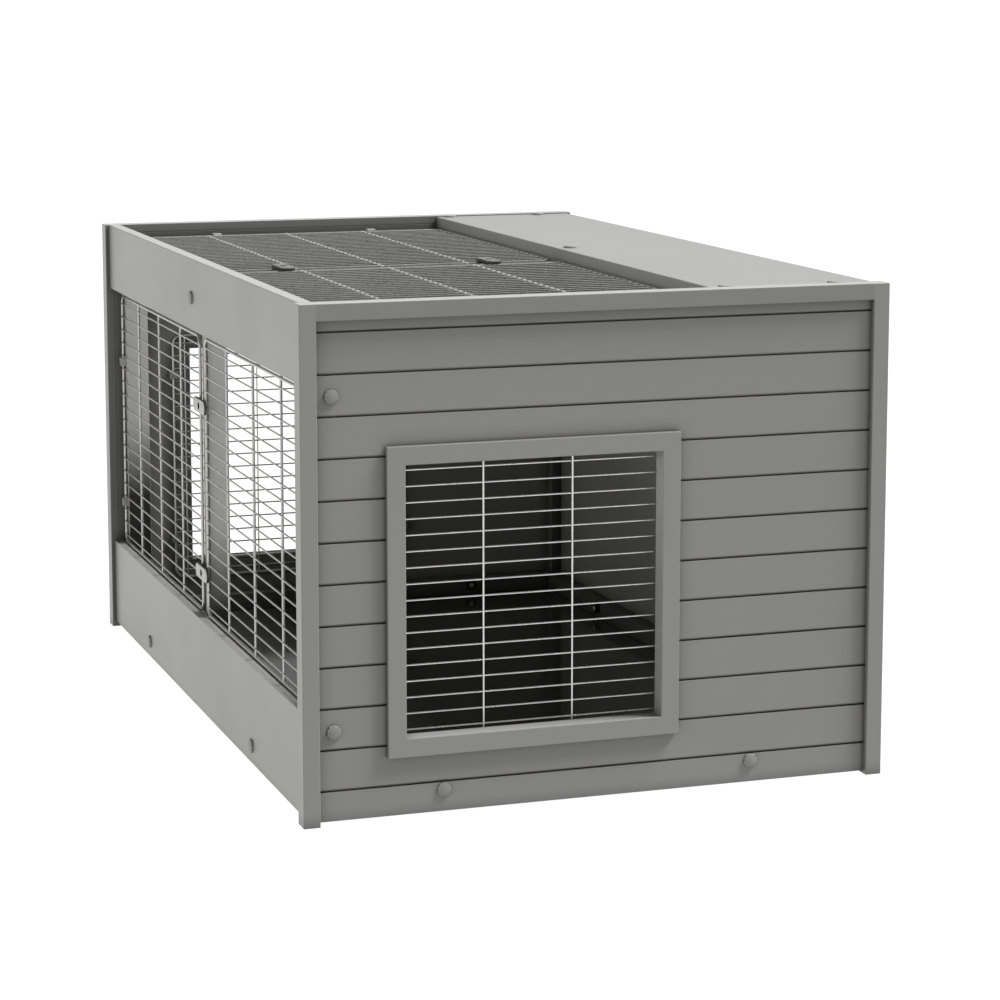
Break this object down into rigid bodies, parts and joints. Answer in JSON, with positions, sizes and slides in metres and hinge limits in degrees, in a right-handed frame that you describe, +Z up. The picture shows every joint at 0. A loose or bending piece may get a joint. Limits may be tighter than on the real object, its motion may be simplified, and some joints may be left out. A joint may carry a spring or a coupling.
{
  "type": "rabbit hutch",
  "caption": "Low rabbit hutch of grooved grey boards with wired end windows, wire front doors, wire top lids and a roof strip at the back.",
  "frame": {"origin": "on the ground under the middle of the hutch", "axes": "+Z up, -Y towards the wire doors, +X to the right of somebody who faces the doors"},
  "size_m": [1.169, 0.755, 0.626],
  "materials": {
    "grey_board": "satin",
    "window_board": "satin",
    "floor_board": "satin",
    "wire": "satin",
    "clip": "matte",
    "button": "satin",
    "stud": "satin",
    "bolt_cap": "matte"
  },
  "bodies": {
    "cabinet": {"batten_nuts": "stud", "centre_post": "grey_board", "door_button_studs": "stud", "floor_batten_front": "grey_board", "floor_batten_left": "grey_board", "floor_batten_rear": "grey_board", "floor_batten_right": "grey_board", "floor_panel": "floor_board", "front_bottom_rail": "grey_board", "front_rail_bolts": "bolt_cap", "front_top_rail": "grey_board", "left_door_hinge_clips": "clip", "left_end_bolts": "bolt_cap", "left_end_panel": "grey_board", "left_end_top_rail": "grey_board", "left_front_post": "grey_board", "left_front_stile": "grey_board", "left_grille_clips": "clip", "left_lid_hinge_clips": "clip", "left_lid_ledge": "grey_board", "left_rear_cleat": "grey_board", "left_rear_stile": "grey_board", "left_roof_ledge": "grey_board", "left_window_frame": "window_board", "left_window_grille": "wire", "lid_bar": "grey_board", "lid_button_studs": "stud", "rear_wall": "grey_board", "rear_wall_bolts": "bolt_cap", "right_door_hinge_clips": "clip", "right_end_bolts": "bolt_cap", "right_end_panel": "grey_board", "right_end_top_rail": "grey_board", "right_front_post": "grey_board", "right_front_stile": "grey_board", "right_grille_clips": "clip", "right_lid_hinge_clips": "clip", "right_lid_ledge": "grey_board", "right_rear_cleat": "grey_board", "right_rear_stile": "grey_board", "right_roof_ledge": "grey_board", "right_window_frame": "window_board", "right_window_grille": "wire", "roof_beam": "grey_board", "roof_bolts": "bolt_cap", "roof_panel": "grey_board"},
    "left_door": {"left_door": "wire"},
    "right_door": {"right_door": "wire"},
    "left_lid": {"left_lid": "wire"},
    "right_lid": {"right_lid": "wire"},
    "door_button_lower": {"door_button_lower": "button"},
    "door_button_upper": {"door_button_upper": "button"},
    "lid_button_front": {"lid_button_front": "button"},
    "lid_button_rear": {"lid_button_rear": "button"}
  },
  "joints": [
    {"name": "left_door_hinge", "type": "hinge", "parent": "cabinet", "child": "left_door", "pos_m": [-0.54, -0.357, 0.3277], "axis": [0, 0, -1], "range_deg": [0, 120]},
    {"name": "right_door_hinge", "type": "hinge", "parent": "cabinet", "child": "right_door", "pos_m": [0.54, -0.357, 0.3277], "axis": [0, 0, 1], "range_deg": [0, 120]},
    {"name": "left_lid_hinge", "type": "hinge", "parent": "cabinet", "child": "left_lid", "pos_m": [-0.54, -0.099, 0.604], "axis": [0, -1, 0], "range_deg": [0, 120]},
    {"name": "right_lid_hinge", "type": "hinge", "parent": "cabinet", "child": "right_lid", "pos_m": [0.54, -0.099, 0.604], "axis": [0, 1, 0], "range_deg": [0, 120]},
    {"name": "lower_door_button_turn", "type": "hinge", "parent": "cabinet", "child": "door_button_lower", "pos_m": [0, -0.3602, 0.194], "axis": [0, -1, 0], "range_deg": [0, 90]},
    {"name": "upper_door_button_turn", "type": "hinge", "parent": "cabinet", "child": "door_button_upper", "pos_m": [0, -0.3602, 0.4245], "axis": [0, -1, 0], "range_deg": [0, 90]},
    {"name": "front_lid_button_turn", "type": "hinge", "parent": "cabinet", "child": "lid_button_front", "pos_m": [0, -0.2435, 0.6072], "axis": [0, 0, 1], "range_deg": [0, 90]},
    {"name": "rear_lid_button_turn", "type": "hinge", "parent": "cabinet", "child": "lid_button_rear", "pos_m": [0, 0.0505, 0.6072], "axis": [0, 0, 1], "range_deg": [0, 90]}
  ]
}
